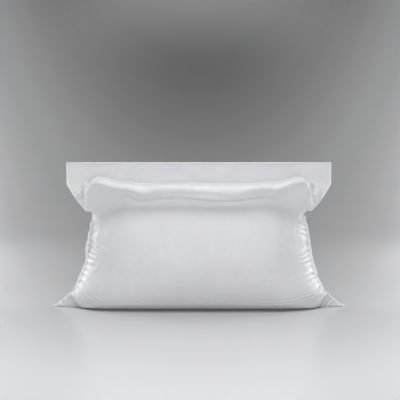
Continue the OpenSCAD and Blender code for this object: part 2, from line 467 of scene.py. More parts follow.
def simulate_cloth(obj, pin, grow):
    """Runs the cloth from obj's shape and returns where its vertices end up."""
    weight_group(obj, "pin", pin)
    weight_group(obj, "grow", grow)
    cloth = obj.modifiers.new("cloth", "CLOTH")
    settings = cloth.settings
    settings.quality = 5
    settings.mass = 0.05
    settings.tension_stiffness = 40
    settings.compression_stiffness = 40
    settings.shear_stiffness = 12
    settings.bending_stiffness = 0.06
    settings.air_damping = 2
    settings.vertex_group_mass = "pin"
    settings.vertex_group_shrink = "grow"
    settings.shrink_min = 0
    settings.shrink_max = -0.13
    settings.use_pressure = True
    settings.uniform_pressure_force = 1.6
    settings.effector_weights.gravity = 0
    cloth.collision_settings.use_collision = False
    cloth.collision_settings.use_self_collision = False
    cloth.point_cache.frame_start = 1
    cloth.point_cache.frame_end = FRAMES
    scene = bpy.context.scene
    scene.frame_start = 1
    scene.frame_end = FRAMES
    for step in range(1, FRAMES + 1):
        scene.frame_set(step)
    evaluated = obj.evaluated_get(bpy.context.evaluated_depsgraph_get())
    moved = read_points(evaluated.to_mesh())
    evaluated.to_mesh_clear()
    return moved


def blur_matrix(places, radius):
    weights = np.exp(-0.5 * ((places[:, None] - places[None, :]) / radius) ** 2)
    return weights / weights.sum(1, keepdims=True)


def keep_design(moved, designed, s, u):
    """Keeps the simulated folds near the sides, and little else of what the cloth did."""
    shift = moved - designed
    rows = blur_matrix(s, FOLD_BREADTH)
    columns = blur_matrix(u * PANEL_HALF_W, FOLD_BREADTH)
    broad = np.einsum("ij,jkc,lk->ilc", rows, shift, columns)
    broad *= (1 - np.abs(u) ** 6)[None, :, None]
    fade_from, fade_over = FOLDS_FADE
    kept = INNER_FOLDS + (1 - INNER_FOLDS) * ease((np.abs(u) - fade_from) / fade_over)
    shift = (shift - broad) * kept[None, :, None] + (1 - SWELLING_OUT) * broad
    size = np.linalg.norm(shift, axis=2, keepdims=True)
    return designed + shift * np.minimum(1, MOST_MOVED / np.maximum(size, 1e-9))


def halve_steps(values):
    """A grid with a new row between every two, on a smooth curve through them."""
    before = 2 * values[:1] - values[1:2]
    after = 2 * values[-1:] - values[-2:-1]
    p = np.concatenate([before, values, after])
    out = np.zeros((2 * len(values) - 1, *values.shape[1:]))
    out[::2] = values
    out[1::2] = (9 * (p[1:-2] + p[2:-1]) - p[:-3] - p[3:]) / 16
    return out


def build_case():
    """The simulated case, as {side: grid of points} and the cut heights and shares."""
    design = Design()
    s = np.linspace(0, design.cut_h, ROWS)
    u = column_shares()
    t = s / design.cut_h
    grids = dict(zip((FRONT, BACK), shared_grid(ROWS, len(u))))
    designed, folded = {}, {}
    for side in (FRONT, BACK):
        points = design.rows(s, u, side)
        points[:, :, 2] += shoulder_lobes(points, t, side)
        points[:, [0, -1], 1] = 0
        for column, hand in ((0, LEFT), (-1, RIGHT)):
            out, back = seam_lumps(design, s, hand)
            points[:, column, 0] += hand * out
            points[:, column, 1] += back
        points[0, :, 1] = 0
        points[0, :, 2] = 1.2 * MM
        designed[side] = points
        offset = start_folds(design, s, u, points, side)
        offset[:, [0, -1]] = 0
        folded[side] = points + offset[:, :, None] * grid_normals(points, side)
        folded[side][0] = points[0]
    count = grids[BACK].max() + 1
    start = np.zeros((count, 3))
    pin = np.zeros(count)
    grow = np.zeros(count)
    near_side = ease((np.abs(u) - 0.83) / 0.12)[None, :] * between(t, 0.08, 0.80, 0.06)[:, None]
    held = (designed[FRONT][:, :, 2] < 0.6 * MM) & (np.abs(u)[None, :] < 0.60)
    held = held | ((t > 0.785)[:, None] & (np.abs(u) > 0.70)[None, :])
    for side in (BACK, FRONT):
        start[grids[side]] = folded[side]
        pin[grids[side][held]] = 1
        grow[grids[side]] = near_side
        pin[grids[side][[0, -1]]] = 1
        pin[grids[side][:, [0, -1]]] = 1
    faces = np.concatenate([quads(grids[FRONT], False), quads(grids[BACK], True)])
    sheet = mesh_object("case_simulation", start, faces)
    moved = simulate_cloth(sheet, pin, grow)
    bpy.data.objects.remove(sheet)
    fine_s, fine_u = halve_steps(s), halve_steps(u)
    case = {}
    for side in (FRONT, BACK):
        coarse = keep_design(moved[grids[side]], designed[side], s, u)
        points = halve_steps(halve_steps(coarse).swapaxes(0, 1)).swapaxes(0, 1)
        offset = creases(design, fine_s, fine_u, points, side)
        case[side] = points + offset[:, :, None] * grid_normals(points, side)
    case[BACK][:, [0, -1]] = case[FRONT][:, [0, -1]]
    case[BACK][0] = case[FRONT][0]
    part_plies(case)
    for points in case.values():
        points[:, :, 2] = np.maximum(points[:, :, 2], FLOOR_GAP)
    return design, case, fine_s, fine_u


def part_plies(case):
    """Keeps the back cloth behind the front cloth wherever the two lie together."""
    least = 1.4 * MM
    inner = (slice(1, None), slice(1, -1))
    middle = (case[FRONT][inner][..., 1] + case[BACK][inner][..., 1]) / 2
    gap = case[BACK][inner][..., 1] - case[FRONT][inner][..., 1]
    close = gap < least
    case[FRONT][inner][..., 1][close] = middle[close] - least / 2
    case[BACK][inner][..., 1][close] = middle[close] + least / 2


# ---------------------------------------------------------------- mesh helpers
def grid_object(name, points, flip=False, uv=None):
    rows, columns = points.shape[:2]
    faces = quads(np.arange(rows * columns).reshape(rows, columns), flip)
    obj = mesh_object(name, points.reshape(-1, 3), faces)
    if uv is not None:
        layer = obj.data.uv_layers.new(name="cloth")
        corner = np.zeros(len(obj.data.loops), int)
        obj.data.loops.foreach_get("vertex_index", corner)
        layer.data.foreach_set("uv", uv.reshape(-1, 2)[corner].ravel())
    shade_smooth(obj)
    return obj


def shade_smooth(obj):
    obj.data.polygons.foreach_set("use_smooth", [True] * len(obj.data.polygons))


def apply_modifiers(obj):
    """Replaces obj's mesh by its evaluated mesh and removes its modifiers."""
    evaluated = obj.evaluated_get(bpy.context.evaluated_depsgraph_get())
    mesh = bpy.data.meshes.new_from_object(evaluated)
    obj.modifiers.clear()
    old = obj.data
    obj.data = mesh
    bpy.data.meshes.remove(old)
    shade_smooth(obj)


def thicken(obj, thickness):
    """Gives a sheet its thickness, on the inner side."""
    solid = obj.modifiers.new("thick", "SOLIDIFY")
    solid.thickness = thickness
    solid.offset = -1
    solid.use_even_offset = False
    apply_modifiers(obj)


def sweep(name, path, outward, profile, closed=False):
    """A solid of the given profile, a list of (out, across) pairs, along the path.

    out is measured along outward and across along the path's other normal.
    """
    path = np.asarray(path, float)
    outward = np.asarray(outward, float)
    tangent = np.gradient(path, axis=0)
    if closed:
        tangent = np.roll(path, -1, 0) - np.roll(path, 1, 0)
    tangent /= np.linalg.norm(tangent, axis=1, keepdims=True)
    outward = outward - (outward * tangent).sum(1, keepdims=True) * tangent
    outward /= np.linalg.norm(outward, axis=1, keepdims=True)
    across = np.cross(tangent, outward)
    profile = np.asarray(profile, float)
    if profile.ndim == 2:
        profile = np.repeat(profile[None], len(path), 0)
    rings = (path[:, None] + profile[:, :, :1] * outward[:, None]
             + profile[:, :, 1:] * across[:, None])
    n, m = rings.shape[:2]
    index = np.arange(n * m).reshape(n, m)
    spans = n if closed else n - 1
    faces = []
    for i in range(spans):
        a, b = index[i], index[(i + 1) % n]
        faces += [[int(a[k]), int(a[(k + 1) % m]), int(b[(k + 1) % m]), int(b[k])]
                  for k in range(m)]
    if not closed:
        faces.append([int(k) for k in index[0][::-1]])
        faces.append([int(k) for k in index[-1]])
    obj = mesh_object(name, rings.reshape(-1, 3), faces)
    shade_smooth(obj)
    return obj


def oval(width, height, sides=12):
    angle = np.linspace(0, 2 * np.pi, sides, endpoint=False)
    return np.stack([width / 2 * np.cos(angle), height / 2 * np.sin(angle)], 1)


def evenly(path, spacing):
    """Points at an even spacing along a path, with their tangents."""
    path = np.asarray(path, float)
    lengths = arc_lengths(path)
    count = max(int(lengths[-1] / spacing), 2)
    where = (np.arange(count) + 0.5) * lengths[-1] / count
    points = along((lengths, path), where)
    tangent = np.gradient(points, axis=0)
    return points, tangent / np.linalg.norm(tangent, axis=1, keepdims=True)


def stitches(name, runs, length, thick):
    """One object of short rounded threads. runs is a list of (points, tangents, normals)."""
    points, faces = [], []
    sides, rings = 6, 5
    angle = np.linspace(0, 2 * np.pi, sides, endpoint=False)
    for places, tangents, normals in runs:
        for place, tangent, normal in zip(places, tangents, normals):
            normal = normal - tangent * normal.dot(tangent)
            normal /= np.linalg.norm(normal)
            across = np.cross(tangent, normal)
            first = len(points)
            for k in range(rings):
                f = k / (rings - 1) * 2 - 1
                fat = math.sqrt(max(1 - f * f * 0.86, 0.02))
                lift = (1 - f * f) * 0.35 * thick
                for a in angle:
                    points.append(place + tangent * (f * length / 2) + normal * lift
                                  + (normal * math.sin(a) + across * math.cos(a))
                                  * thick / 2 * fat)
            for k in range(rings - 1):
                for j in range(sides):
                    a = first + k * sides + j
                    b = first + k * sides + (j + 1) % sides
                    faces.append([a, b, b + sides, a + sides])
            faces.append([first + j for j in range(sides)][::-1])
            faces.append([first + (rings - 1) * sides + j for j in range(sides)])
    obj = mesh_object(name, np.array(points), faces)
    shade_smooth(obj)
    return obj


def finish_piece(obj, body, slot, material, *nodes):
    obj.data.materials.clear()
    obj.data.materials.append(material)
    if body:
        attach(obj, body)
    if nodes:
        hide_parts(*nodes)


# ---------------------------------------------------------------- materials
class Nodes:
    """Short names for building a material's node tree."""

    def __init__(self, name):
        self.material = bpy.data.materials.new(name)
        self.material.use_nodes = True
        self.tree = self.material.node_tree
        self.shader = self.tree.nodes["Principled BSDF"]

    def node(self, kind, **values):
        made = self.tree.nodes.new(kind)
        for key, value in values.items():
            setattr(made, key, value)
        return made

    def link(self, source, target):
        self.tree.links.new(source, target)

    def math(self, operation, a, b=None):
        made = self.node("ShaderNodeMath", operation=operation)
        for socket, value in zip(made.inputs, (a, b)):
            if value is None:
                continue
            if isinstance(value, (int, float)):
                socket.default_value = value
            else:
                self.link(value, socket)
        return made.outputs[0]

    def noise(self, vector, scale, detail=3.0, roughness=0.5, distortion=0.0):
        made = self.node("ShaderNodeTexNoise")
        made.inputs["Scale"].default_value = scale
        made.inputs["Detail"].default_value = detail
        made.inputs["Roughness"].default_value = roughness
        made.inputs["Distortion"].default_value = distortion
        self.link(vector, made.inputs["Vector"])
        return made.outputs["Fac"]

    def ramp(self, value, low, high, from_low=0.35, from_high=0.65):
        made = self.node("ShaderNodeMapRange")
        made.inputs["From Min"].default_value = from_low
        made.inputs["From Max"].default_value = from_high
        made.inputs["To Min"].default_value = low
        made.inputs["To Max"].default_value = high
        self.link(value, made.inputs["Value"])
        return made.outputs["Result"]

    def blend_colours(self, factor, a, b):
        made = self.node("ShaderNodeMix", data_type="RGBA")
        self.link(factor, made.inputs["Factor"])
        made.inputs["A"].default_value = (*a, 1)
        made.inputs["B"].default_value = (*b, 1)
        return made.outputs["Result"]

    def bump(self, height, strength, distance, below=None):
        made = self.node("ShaderNodeBump")
        made.inputs["Strength"].default_value = strength
        made.inputs["Distance"].default_value = distance
        self.link(height, made.inputs["Height"])
        if below is not None:
            self.link(below, made.inputs["Normal"])
        return made.outputs["Normal"]

    def place(self, uv):
        """Where a point is: on the cut cloth for a sheet with uv, else in the frame."""
        if uv:
            return self.node("ShaderNodeUVMap", uv_map="cloth").outputs["UV"]
        return self.node("ShaderNodeTexCoord").outputs["Object"]

    def weave(self, vector, pitch):
        """Threads over and under each other, as a height from 0 to 1."""
        parts = self.node("ShaderNodeSeparateXYZ")
        self.link(vector, parts.inputs[0])
        turn = 2 * math.pi / pitch
        warp = self.math("SINE", self.math("MULTIPLY", parts.outputs["X"], turn))
        weft = self.math("SINE", self.math("MULTIPLY", parts.outputs["Y"], turn))
        return self.math("MULTIPLY_ADD", warp, weft)


def cloth_material(name, light, shade, rough=(0.40, 0.56), pitch=0.9 * MM, uv=True,
                   sheen=0.25, weave_depth=0.05 * MM, painted_shade_from=None):
    """Woven cloth: mottled colour, threads, slubs and a soft sheen.

    Above the last argument's height the cloth gets painted shade: a little greyer, with smoky
    streaks that are painted reflections.
    """
    n = Nodes(name)
    place = n.place(uv)
    solid = n.place(False)
    broad = n.noise(solid, 9, 4, 0.55, 0.6)
    fine = n.noise(solid, 70, 5, 0.6)
    mixed = n.math("ADD", n.math("MULTIPLY", broad, 0.7), n.math("MULTIPLY", fine, 0.3))
    tone = n.ramp(mixed, 0, 1)
    # Painted shade and painted reflection: above the height the colour turns greyer and streaked
    # with noise.
    if painted_shade_from is not None:
        parts = n.node("ShaderNodeSeparateXYZ")
        n.link(solid, parts.inputs[0])
        band = n.ramp(parts.outputs["Z"], 0, 1, painted_shade_from, painted_shade_from + 8 * MM)
        painted_reflection_streaks = n.ramp(n.noise(solid, 7, 5, 0.6, 3.0), 0.4, 1.7, 0.3, 0.7)
        tone = n.math("ADD", n.math("MULTIPLY", tone, n.math("SUBTRACT", 1.0, band)),
                      n.math("MULTIPLY", painted_reflection_streaks, band))
    mix = n.blend_colours(tone, light, shade)
    mix.node.clamp_factor = False
    n.link(mix, n.shader.inputs["Base Color"])
    n.link(n.ramp(fine, *rough), n.shader.inputs["Roughness"])
    threads = n.weave(place, pitch)
    slub = n.noise(place, 900, 2)
    surface = n.bump(threads, 0.35, weave_depth)
    surface = n.bump(slub, 0.25, 0.12 * MM, surface)
    surface = n.bump(n.noise(solid, 55, 3, 0.5, 0.4), 0.30, 0.5 * MM, surface)
    n.link(surface, n.shader.inputs["Normal"])
    n.shader.inputs["Sheen Weight"].default_value = sheen
    n.shader.inputs["Sheen Roughness"].default_value = 0.35
    n.shader.inputs["Specular IOR Level"].default_value = 0.45
    return n.material


def thread_material(name, light, shade, twist=0.9 * MM):
    """Twisted thread: diagonal strands and a little sheen."""
    n = Nodes(name)
    solid = n.place(False)
    wave = n.node("ShaderNodeTexWave", wave_type="BANDS", bands_direction="DIAGONAL")
    wave.inputs["Scale"].default_value = 0.3 / twist
    wave.inputs["Distortion"].default_value = 0.6
    n.link(solid, wave.inputs["Vector"])
    strands = wave.outputs["Fac"]
    n.link(n.blend_colours(n.ramp(strands, 0, 1, 0, 1), shade, light),
           n.shader.inputs["Base Color"])
    n.link(n.ramp(n.noise(solid, 220, 3), 0.42, 0.62), n.shader.inputs["Roughness"])
    surface = n.bump(strands, 0.45, 0.15 * MM)
    n.link(surface, n.shader.inputs["Normal"])
    n.shader.inputs["Sheen Weight"].default_value = 0.2
    return n.material


def fibre_material(name, light, shade):
    """Carded fibre: fine hairs running every way, with a strong soft sheen."""
    n = Nodes(name)
    solid = n.place(False)
    hairs = n.noise(solid, 420, 6, 0.7, 2.5)
    clumps = n.noise(solid, 30, 4, 0.6, 0.8)
    tone = n.math("ADD", n.math("MULTIPLY", hairs, 0.5), n.math("MULTIPLY", clumps, 0.5))
    n.link(n.blend_colours(n.ramp(tone, 0, 1), light, shade), n.shader.inputs["Base Color"])
    n.link(n.ramp(hairs, 0.75, 0.95), n.shader.inputs["Roughness"])
    surface = n.bump(hairs, 0.6, 0.6 * MM)
    surface = n.bump(clumps, 0.5, 3 * MM, surface)
    n.link(surface, n.shader.inputs["Normal"])
    n.shader.inputs["Sheen Weight"].default_value = 0.5
    return n.material


def striped_ticking(name, ground, stripe):
    """Twill ticking with narrow stripes along the cloth's height."""
    n = Nodes(name)
    place = n.place(True)
    parts = n.node("ShaderNodeSeparateXYZ")
    n.link(place, parts.inputs[0])
    across = n.math("MULTIPLY", parts.outputs["X"], 2 * math.pi / 0.018)
    wide = n.math("GREATER_THAN", n.math("SINE", across), 0.82)
    fine = n.math("GREATER_THAN", n.math("SINE", n.math("MULTIPLY", across, 3)), 0.93)
    stripes = n.math("MAXIMUM", wide, fine)
    faded = n.math("MULTIPLY", stripes, n.ramp(n.noise(place, 60, 4), 0.65, 1.0))
    n.link(n.blend_colours(faded, ground, stripe), n.shader.inputs["Base Color"])
    twill = n.math("ADD", n.math("MULTIPLY", parts.outputs["X"], 2 * math.pi / (1.1 * MM)),
                   n.math("MULTIPLY", parts.outputs["Y"], 2 * math.pi / (1.1 * MM)))
    surface = n.bump(n.math("SINE", twill), 0.4, 0.08 * MM)
    n.link(n.ramp(n.noise(place, 40, 3), 0.7, 0.85), n.shader.inputs["Roughness"])
    n.link(surface, n.shader.inputs["Normal"])
    n.shader.inputs["Sheen Weight"].default_value = 0.15
    return n.material


def felt_material(name, light, shade):
    """Pressed felt, flecked, with a fine random nap."""
    n = Nodes(name)
    solid = n.place(False)
    nap = n.noise(solid, 700, 4, 0.7, 1.2)
    flecks = n.noise(solid, 160, 2, 0.4)
    n.link(n.blend_colours(n.ramp(flecks, 0, 1), light, shade), n.shader.inputs["Base Color"])
    n.link(n.ramp(nap, 0.8, 0.95), n.shader.inputs["Roughness"])
    n.link(n.bump(nap, 0.5, 0.3 * MM), n.shader.inputs["Normal"])
    n.shader.inputs["Sheen Weight"].default_value = 0.3
    return n.material


# From 12 mm below the fold up over the header, the case cloth carries painted shade with streaks of
# painted reflection.
CASE_CLOTH = cloth_material("case_sateen", (0.79, 0.79, 0.795), (0.735, 0.735, 0.75),
                            painted_shade_from=FOLD_Z - 12 * MM)
# The hem is the case's sateen painted paler: a painted highlight along the header's top and ends.
HEM_CLOTH_PAINTED_HIGHLIGHT = cloth_material("hem_sateen_painted_highlight", (0.85, 0.85, 0.85), (0.79, 0.79, 0.79), uv=False)
SEAM_THREAD = thread_material("seam_thread", (0.90, 0.90, 0.90), (0.80, 0.80, 0.80))
# The binding is painted paler than the case cloth: a painted highlight along the side seams' bound
# edges.
BINDING_PAINTED_HIGHLIGHT = cloth_material("seam_binding_painted_highlight", (0.92, 0.92, 0.92), (0.86, 0.86, 0.86), uv=False)
TICKING = striped_ticking("ticking_twill", (0.80, 0.78, 0.72), (0.16, 0.22, 0.40))
PIPING = thread_material("piping_cord", (0.50, 0.56, 0.68), (0.30, 0.36, 0.50), 2.4 * MM)
FIBRE = fibre_material("carded_fibre", (0.86, 0.86, 0.87), (0.72, 0.72, 0.74))
FELT = felt_material("interlining_felt", (0.74, 0.74, 0.73), (0.60, 0.60, 0.59))
LABEL = cloth_material("label_satin", (0.86, 0.86, 0.84), (0.78, 0.78, 0.76),
                       rough=(0.28, 0.40), pitch=0.5 * MM)


# ---------------------------------------------------------------- the case
DESIGN, CASE, CUT_S, CUT_U = build_case()


def cloth_uv(design, s, u):
    """Each point's place on the cut cloth, in metres."""
    across = u[None, :] * design.cut_half_w(s)[:, None]
    return np.stack([across, np.repeat(s[:, None], len(u), 1)], -1)


def header_rows(side):
    """The header's rows of cloth, above the row that ends the case."""
    foot = CASE[side][-1]
    top = HEADER_TOP - 1.2 * MM
    half = HEADER_HALF_W - 1.4 * MM
    rows = []
    for share in np.linspace(0, 1, HEADER_ROWS + 1)[1:]:
        z = foot[:, 2] + (top - foot[:, 2]) * share
        wide = np.interp(z, [foot[0, 2], foot[0, 2] + 6 * MM], [np.abs(foot[0, 0]), half])
        x = CUT_U * wide
        rows.append(np.stack([x, header_y(x, z, side), z], -1))
    return np.array(rows)


def case_sheet(side):
    """One side's cloth, cut in one piece from the bottom seam to the header's top."""
    name = f"case_{SIDES[side]}"
    points = np.concatenate([CASE[side], header_rows(side)])
    uv = cloth_uv(DESIGN, CUT_S, CUT_U)
    rise = np.linspace(0, HEADER_TOP - CREASE_Z, HEADER_ROWS + 1)[1:]
    band = uv[-1][None] + rise[:, None, None] * np.array([0, 1])
    obj = grid_object(f"{name}_cloth", points, side == BACK, np.concatenate([uv, band]))
    thicken(obj, CLOTH_T)
    finish_piece(obj, None, "case_cloth", CASE_CLOTH, f"{name}_panel",
                 f"header_{SIDES[side]}_ply")
    fold_blend(obj)
    widths = DESIGN.cut_half_w(np.array([0, DESIGN.cut_h]))


def fold_blend(obj):
    """Bakes obj's transform into its mesh."""
    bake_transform(obj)


def side_path(hand):
    """The seam line at one side, carried on past the fold to the foot of the hem."""
    column = 0 if hand == LEFT else -1
    path = CASE[FRONT][:, column]
    rise = np.linspace(path[-1, 2], HEM_FOOT, 8)[1:]
    top = np.stack([np.full(7, hand * (HEADER_HALF_W - 1.6 * MM)), np.zeros(7), rise], 1)
    return np.concatenate([path, top])


def side_seam(hand):
    """The bound edge along one side: thick and lumpy where it is gathered."""
    name = "left_side_seam" if hand == LEFT else "right_side_seam"
    fine = smooth_curve(side_path(hand), 420)[1]
    step = np.gradient(fine, axis=0)
    outward = hand * np.stack([step[:, 2], np.zeros(len(step)), -step[:, 0]], 1)
    outward = smooth_rows(outward / np.linalg.norm(outward, axis=1, keepdims=True), 9)
    rng = np.random.default_rng(211 + hand)
    share = np.linspace(0, 1, len(fine))
    full = between(share, 0.16, 0.65, 0.05)
    wide = (3.4 + full * wander(rng, share, 29, 3.6, 8.0)) * MM
    thick = 3.6 + 1.6 * ease((share - 0.90) / 0.05)
    thick = (thick + full * wander(rng, share, 33, 1.5, 4.5)) * MM
    ring = oval(1, 1, 12)
    profile = ring[None] * np.stack([wide, thick], 1)[:, None, :]
    profile[:, :, 0] += (full * 2.4 * MM)[:, None]
    edge = sweep(f"{name}_binding", fine, outward, profile)
    finish_piece(edge, None, "seam_thread", BINDING_PAINTED_HIGHLIGHT, name)
    fold_blend(edge)


def smooth_rows(values, width):
    kernel = np.hanning(width + 2)[1:-1]
    kernel /= kernel.sum()
    padded = np.pad(values, ((width // 2, width // 2), (0, 0)), mode="edge")
    return np.stack([np.convolve(padded[:, k], kernel, "valid") for k in range(3)], 1)


def seam_stitches(hand):
    """Stitches just inside one side's seam, on the front and on the back."""
    name = "left" if hand == LEFT else "right"
    runs = []
    for side in (FRONT, BACK):
        column = 3 if hand == LEFT else -4
        line = smooth_curve(CASE[side][6:, column], 700)[1]
        normal = grid_normals(CASE[side], side)[6:, column]
        places, tangents = evenly(line, 4.2 * MM)
        rows = np.linspace(0, len(normal) - 1, len(places))
        normals = along((np.arange(len(normal), dtype=float), normal), rows)
        runs.append((places + normals * 0.1 * MM, tangents, normals))
    obj = stitches(f"{name}_side_stitches", runs, 2.8 * MM, 0.7 * MM)
    finish_piece(obj, "pillow", "seam_thread", SEAM_THREAD)


def bottom_seam():
    path = CASE[FRONT][0].copy()
    path[:, 2] = 1.65 * MM
    path = smooth_curve(path, 300)[1]
    down = np.tile([0.0, 0.0, -1.0], (len(path), 1))
    obj = sweep("bottom_seam_binding", path, down, oval(2.2 * MM, 3.2 * MM, 12))
    finish_piece(obj, "pillow", "seam_thread", SEAM_THREAD, "bottom_seam")


# ---------------------------------------------------------------- the header
def header_y(x, z, side):
    """A ply of the header: almost flat, with the slow waves of stiffened cloth."""
    wave = np.sin(x * 19 + 1.3) * np.sin(z * 60 + x * 7) + 0.6 * np.sin(x * 43 + z * 31)
    loose = ease((HEADER_TOP - z) / 0.010) * ease((z - CREASE_Z) / 0.012)
    return side * PLY_Y + 0.35 * MM * wave * loose


def header_hem():
    """The bound edge over the header's two ends and its top."""
    x = HEADER_HALF_W - 1.6 * MM
    low, top = HEM_FOOT, HEADER_TOP - 1.6 * MM
    corner = 0.8 * MM
    path = [(-x, 0, low), (-x, 0, top - corner), (-x + 0.3 * corner, 0, top - 0.3 * corner),
            (-x + corner, 0, top), (x - corner, 0, top),
            (x - 0.3 * corner, 0, top - 0.3 * corner), (x, 0, top - corner), (x, 0, low)]
    dense = []
    for a, b in zip(path, path[1:]):
        count = max(int(math.dist(a, b) / (4 * MM)), 1)
        dense += [np.array(a) + (np.array(b) - a) * k / count for k in range(count)]
    dense.append(np.array(path[-1]))
    dense = np.array(dense)
    step = np.gradient(dense, axis=0)
    outward = np.stack([-step[:, 2], np.zeros(len(step)), step[:, 0]], 1)
    obj = sweep("header_hem_fold", dense, outward, oval(3.4 * MM, 5.2 * MM, 14))
    finish_piece(obj, "header", "case_cloth", HEM_CLOTH_PAINTED_HIGHLIGHT, "header_hem")


def header_run(flat, spacing, side):
    """Where the stitches of one straight row lie on one face of the header."""
    y = header_y(flat[:, 0], flat[:, 1], side) + side * 0.1 * MM
    places, tangents = evenly(np.stack([flat[:, 0], y, flat[:, 1]], 1), spacing)
    return places, tangents, np.tile([0.0, side, 0.0], (len(places), 1))


def header_stitches():
    """A row of stitches inside the hem, on both faces of the header."""
    runs = []
    inside = 5 * MM
    x, low, top = HEADER_HALF_W - inside, HEADER_BOX[0].z + 3 * MM, HEADER_TOP - inside
    for side in (FRONT, BACK):
        for a, b in (((-x, low), (-x, top)), ((-x, top), (x, top)), ((x, top), (x, low))):
            runs.append(header_run(np.linspace(a, b, 200), 4 * MM, side))
    obj = stitches("header_hem_stitches", runs, 2.7 * MM, 0.7 * MM)
    finish_piece(obj, "header", "seam_thread", SEAM_THREAD, "header_hem_stitching")


def header_base():
    """The row that sews the header in, above the hollow between the shoulders."""
    x, z = 0.66 * PANEL_HALF_W, FOLD_Z - 8.5 * MM
    row = np.linspace((-x, z), (x, z), 400)
    runs = [header_run(row, 4.2 * MM, side) for side in (FRONT, BACK)]
    obj = stitches("header_base_stitches", runs, 2.8 * MM, 0.7 * MM)
    finish_piece(obj, "pillow", "seam_thread", SEAM_THREAD, "header_base_seam")


# ---------------------------------------------------------------- inside the case
LAYER_GAP = 7 * MM                     # from the case's design in to the ticking's
FILL_GAP = 5 * MM                      # from the ticking's design in to the fibre's
TICKING_T = 0.6 * MM
LABEL_SIZE = (32 * MM, 46 * MM)
CLOSING_LENGTH = 180 * MM


def inside_tree(case):
    """The case's cloth as a search tree, with its faces turned outwards."""
    points, faces = [], []
    first = 0
    for side in (FRONT, BACK):
        rows, columns = case[side].shape[:2]
        grid = np.arange(rows * columns).reshape(rows, columns) + first
        points.append(case[side].reshape(-1, 3))
        faces.append(quads(grid, side == BACK))
        first += rows * columns
    return BVHTree.FromPolygons(np.concatenate(points).tolist(), np.concatenate(faces).tolist())


def pushed_inside(points, tree, margin):
    """The points, moved in until they are at least margin inside the tree's surface."""
    moved = points.reshape(-1, 3).copy()
    for i, point in enumerate(moved):
        here = Vector(point)
        for _ in range(3):
            near, normal, _, _ = tree.find_nearest(here)
            depth = (near - here).dot(normal)
            if depth >= margin:
                break
            here = near - normal * margin
        moved[i] = here
    return moved.reshape(points.shape)


def inner_design(inset, rows, columns):
    """A smaller design without flat corners, with its cut heights and shares of width."""
    design = Design(inset, False)
    u = np.linspace(-1, 1, columns)
    return design, np.linspace(0, design.cut_h, rows), np.sign(u) * (1 - (1 - np.abs(u)) ** 1.4)


def build_ticking():
    design, s, u = inner_design(LAYER_GAP, 100, 91)
    tree = inside_tree(CASE)
    panels = {}
    for side in (FRONT, BACK):
        points = design.rows(s, u, side)
        points[:, :, 2] += shoulder_lobes(points, s / design.cut_h, side)
        points[:, [0, -1], 1] = side * 0.9 * MM
        points[0, :, 1] = side * 0.9 * MM
        panels[side] = pushed_inside(points, tree, 3.0 * MM)
    return design, panels, s, u


def ticking_panel(side):
    name = f"ticking_{SIDES[side]}"
    uv = cloth_uv(TICK_DESIGN, TICK_S, TICK_U)
    obj = grid_object(f"{name}_cloth", TICK[side], side == BACK, uv)
    thicken(obj, TICKING_T)
    finish_piece(obj, "pillow", "ticking_cloth", TICKING, f"{name}_panel")
    width = 2 * float(TICK_DESIGN.cut_half_w(np.array([0.0]))[0])


def ticking_piping():
    """A twisted cord that runs all the way round, between the ticking's two panels."""
    middle = (TICK[FRONT] + TICK[BACK]) / 2
    loop = np.concatenate([middle[0], middle[1:, -1], middle[-1, -2::-1], middle[-2:0:-1, 0]])
    loop[:, 1] = 0
    keep = np.concatenate([[True], np.linalg.norm(np.diff(loop, axis=0), axis=1) > 0.4 * MM])
    loop = loop[keep]
    lengths = arc_lengths(np.concatenate([loop, loop[:1]]))
    count = 1400
    where = np.linspace(0, lengths[-1], count, endpoint=False)
    path = along((lengths, np.concatenate([loop, loop[:1]])), where)
    for _ in range(30):
        path = (np.roll(path, 1, 0) + 2 * path + np.roll(path, -1, 0)) / 4
    path = pushed_inside(path, inside_tree(CASE), 3.4 * MM)
    for _ in range(6):
        path = (np.roll(path, 1, 0) + 2 * path + np.roll(path, -1, 0)) / 4
    outward = np.tile([0.0, 1.0, 0.0], (count, 1))
    strands, turns = 3, int(lengths[-1] / 0.014)
    angle = np.linspace(0, 2 * np.pi, 15, endpoint=False)[None, :]
    twist = 2 * np.pi * turns * np.arange(count)[:, None] / count
    radius = (1.45 + 0.25 * np.abs(np.cos(strands / 2 * (angle - twist)))) * MM
    profile = np.stack([radius * np.cos(angle), radius * np.sin(angle)], -1)
    obj = sweep("ticking_piping_cord", path, outward, profile, closed=True)
    finish_piece(obj, "pillow", "piping_cord", PIPING, "ticking_piping")


def closing_stitches():
    """Slanting stitches that close the ticking beside the cord, under the pillow."""
    row = TICK[BACK][2]
    keep = np.abs(row[:, 0]) < CLOSING_LENGTH / 2
    normals = grid_normals(TICK[BACK], BACK)[2][keep]
    line = row[keep] + normals * 0.3 * MM
    places, tangents = evenly(line, 5 * MM)
    share = np.linspace(0, len(normals) - 1, len(places))
    normals = along((np.arange(len(normals), dtype=float), normals), share)
    slanted = tangents + np.array([0, 0.7, 0])
    slanted /= np.linalg.norm(slanted, axis=1, keepdims=True)
    obj = stitches("ticking_closing_stitches", [(places, slanted, normals)], 4.2 * MM, 0.8 * MM)
    finish_piece(obj, "pillow", "piping_cord", PIPING, "ticking_closing_stitch")


